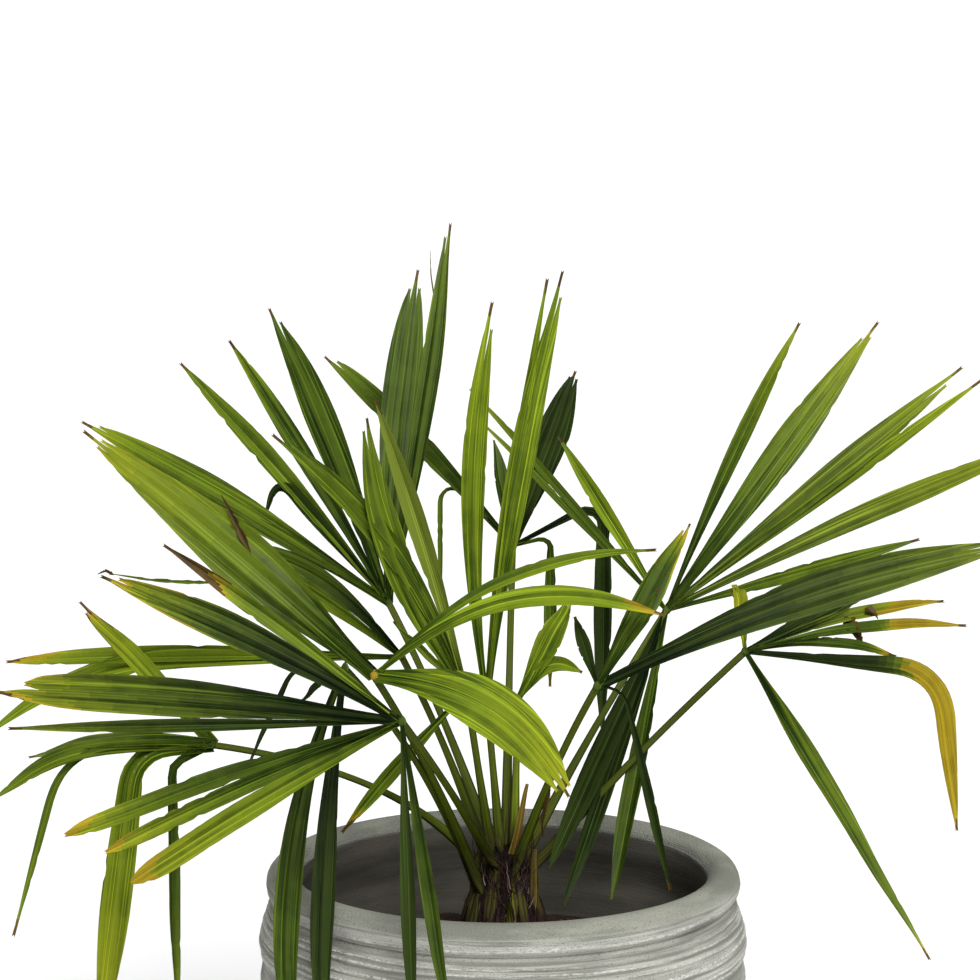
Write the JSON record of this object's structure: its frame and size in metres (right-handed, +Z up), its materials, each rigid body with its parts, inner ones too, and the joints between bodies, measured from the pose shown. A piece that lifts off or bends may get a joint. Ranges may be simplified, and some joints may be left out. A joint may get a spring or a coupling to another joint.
{
  "type": "potted windmill palm",
  "caption": "Young fan palm with fibre-clad stem, long leaf stalks and split fan leaves, in a round banded stoneware pot.",
  "frame": {"origin": "centre of the pot's flat underside", "axes": "+Z up, +X to the right of someone who faces the plant as in the picture, +Y away from them"},
  "size_m": [1.1225, 0.6708, 1.0581],
  "materials": {
    "stoneware": "matte grey stoneware with turned bands",
    "soil": "dark potting soil",
    "fibre": "brown leaf-base fibre",
    "stalk": "satin green stalk",
    "leaf": "satin green leaf"
  },
  "bodies": {
    "root": {"pot": "stoneware", "soil": "soil", "trunk": "fibre", "old_sheath": "fibre", "old_stalk": "fibre", "stalk_front_left_pale": "stalk", "stalk_front_left_low": "stalk", "stalk_far_left": "stalk", "stalk_upper_left": "stalk", "stalk_centre_left": "stalk", "stalk_centre": "stalk", "stalk_upper_back": "stalk", "stalk_upper_right": "stalk", "stalk_right_front": "stalk", "stalk_far_right": "stalk", "stalk_left_middle": "stalk", "stalk_left_hanging": "stalk", "stalk_young": "stalk", "blade_front_left_pale": "leaf", "blade_front_left_low": "leaf", "blade_far_left": "leaf", "blade_upper_left": "leaf", "blade_centre_left": "leaf", "blade_centre": "leaf", "blade_upper_back": "leaf", "blade_upper_right": "leaf", "blade_right_front": "leaf", "blade_far_right": "leaf", "blade_left_middle": "leaf", "blade_left_hanging": "leaf", "blade_young": "leaf"}
  },
  "joints": []
}
